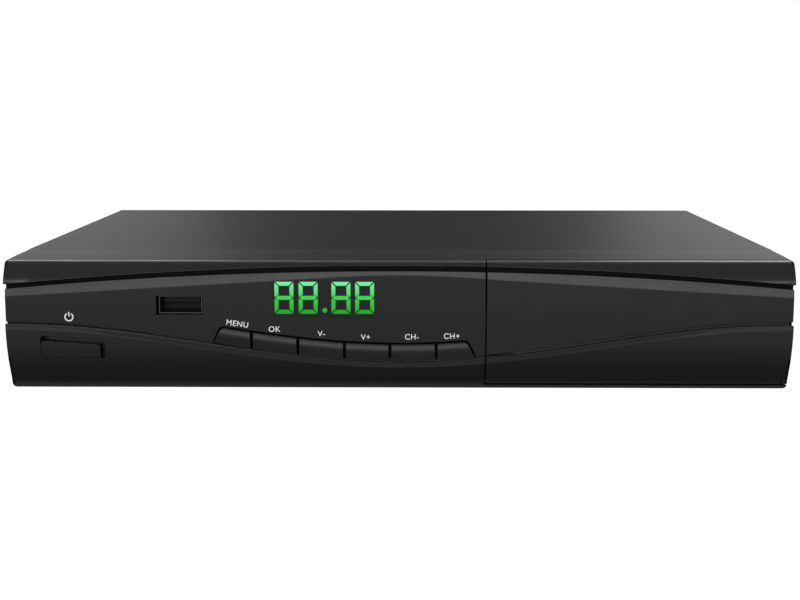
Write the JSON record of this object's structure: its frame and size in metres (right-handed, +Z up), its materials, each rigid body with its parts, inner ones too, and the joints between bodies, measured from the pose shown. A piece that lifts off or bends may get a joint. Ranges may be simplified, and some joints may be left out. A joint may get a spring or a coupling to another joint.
{
  "type": "satellite tv receiver",
  "caption": "Compact satellite television receiver with arched front, digital display, push keys, front data socket, flip-down door over a card slot, and rear connector panel.",
  "frame": {"origin": "centre of the footprint at the underside of the feet", "axes": "+X to the right seen from the front, +Y from the front to the connector panel, +Z up"},
  "size_m": [0.2416, 0.184, 0.0435],
  "materials": {
    "fascia_plastic": "satin",
    "smoked_panel": "smoked gloss",
    "key_plastic": "satin",
    "module_plastic": "matte",
    "display_green": "lit",
    "dark_resin": "gloss",
    "board_green": "solder mask",
    "bright_metal": "bright",
    "socket_plastic": "matte",
    "case_paint": "fine texture",
    "zinc_sheet": "zinc plated",
    "foot_rubber": "matte",
    "chip_plastic": "matte",
    "heat_sink_black": "black anodised",
    "capacitor_sleeve": "gloss",
    "header_white": "matte",
    "ribbon_grey": "matte",
    "tin_plate": "tin plated",
    "nickel": "nickel",
    "insert_white": "gloss",
    "insert_red": "gloss",
    "insert_yellow": "gloss",
    "insert_blue": "gloss",
    "insert_green": "gloss",
    "board_brown": "matte",
    "film_black": "satin",
    "ferrite": "matte",
    "winding_tape": "satin",
    "aluminium_sheet": "satin",
    "fuse_glass": "clear",
    "copper_wire": "enamelled",
    "rocker_red": "satin",
    "wire_mixed": "satin",
    "screw_black": "black"
  },
  "bodies": {
    "case": {"front_fascia": "fascia_plastic", "display_lens": "smoked_panel", "display_module": "module_plastic", "display_segments": "display_green", "ir_receiver": "dark_resin", "front_board": "board_green", "tact_switches": "module_plastic", "usb_shell": "bright_metal", "usb_tongue": "socket_plastic", "card_reader": "socket_plastic", "top_cover": "case_paint", "chassis_tray": "zinc_sheet", "rear_panel": "case_paint", "feet": "foot_rubber", "main_board": "board_green", "main_processor": "chip_plastic", "heat_sink": "heat_sink_black", "memory_chips": "chip_plastic", "board_capacitors": "capacitor_sleeve", "board_headers": "header_white", "ribbon_cable": "ribbon_grey", "tuner_can": "tin_plate", "aerial_connectors": "nickel", "jack_block": "socket_plastic", "jack_insert_white": "insert_white", "jack_insert_red": "insert_red", "jack_insert_yellow": "insert_yellow", "jack_insert_blue": "insert_blue", "jack_insert_green": "insert_green", "jack_shells": "nickel", "hdmi_socket": "bright_metal", "optical_socket": "socket_plastic", "ethernet_socket": "socket_plastic", "serial_shell": "tin_plate", "serial_jackscrews": "nickel", "supply_board": "board_brown", "insulation_film": "film_black", "transformer_core": "ferrite", "transformer_winding": "winding_tape", "bulk_capacitor": "capacitor_sleeve", "supply_heat_sink": "aluminium_sheet", "mains_fuse": "fuse_glass", "output_capacitors": "capacitor_sleeve", "line_choke": "copper_wire", "mains_inlet": "socket_plastic", "inlet_pins": "nickel", "rocker_frame": "socket_plastic", "internal_wires": "wire_mixed", "standoffs": "nickel", "board_screws": "nickel", "case_screws": "screw_black"},
    "door": {"flap_door": "fascia_plastic"},
    "power_button": {"power_button": "key_plastic"},
    "rocker": {"rocker_switch": "rocker_red"},
    "key_menu": {"key_menu": "key_plastic"},
    "key_ok": {"key_ok": "key_plastic"},
    "key_volume_down": {"key_volume_down": "key_plastic"},
    "key_volume_up": {"key_volume_up": "key_plastic"},
    "key_channel_down": {"key_channel_down": "key_plastic"},
    "key_channel_up": {"key_channel_up": "key_plastic"}
  },
  "joints": [
    {"name": "door_hinge", "type": "hinge", "parent": "case", "child": "door", "pos_m": [0.0725, -0.0853, 0.0053], "axis": [1, 0, 0], "range_deg": [0, 80]},
    {"name": "power_press", "type": "slide", "parent": "case", "child": "power_button", "axis": [0, 1, 0], "range_m": [0, 0.0005], "stiffness_N_per_m": 1200, "springref_m": -0.0004},
    {"name": "rocker_tilt", "type": "hinge", "parent": "case", "child": "rocker", "pos_m": [0.064, 0.0786, 0.024], "axis": [1, 0, 0], "range_deg": [-18, 0]},
    {"name": "key_menu_press", "type": "slide", "parent": "case", "child": "key_menu", "axis": [0, 1, 0], "range_m": [0, 0.0005], "stiffness_N_per_m": 1200, "springref_m": -0.0004},
    {"name": "key_ok_press", "type": "slide", "parent": "case", "child": "key_ok", "axis": [0, 1, 0], "range_m": [0, 0.0005], "stiffness_N_per_m": 1200, "springref_m": -0.0004},
    {"name": "key_volume_down_press", "type": "slide", "parent": "case", "child": "key_volume_down", "axis": [0, 1, 0], "range_m": [0, 0.0005], "stiffness_N_per_m": 1200, "springref_m": -0.0004},
    {"name": "key_volume_up_press", "type": "slide", "parent": "case", "child": "key_volume_up", "axis": [0, 1, 0], "range_m": [0, 0.0005], "stiffness_N_per_m": 1200, "springref_m": -0.0004},
    {"name": "key_channel_down_press", "type": "slide", "parent": "case", "child": "key_channel_down", "axis": [0, 1, 0], "range_m": [0, 0.0005], "stiffness_N_per_m": 1200, "springref_m": -0.0004},
    {"name": "key_channel_up_press", "type": "slide", "parent": "case", "child": "key_channel_up", "axis": [0, 1, 0], "range_m": [0, 0.0005], "stiffness_N_per_m": 1200, "springref_m": -0.0004}
  ]
}
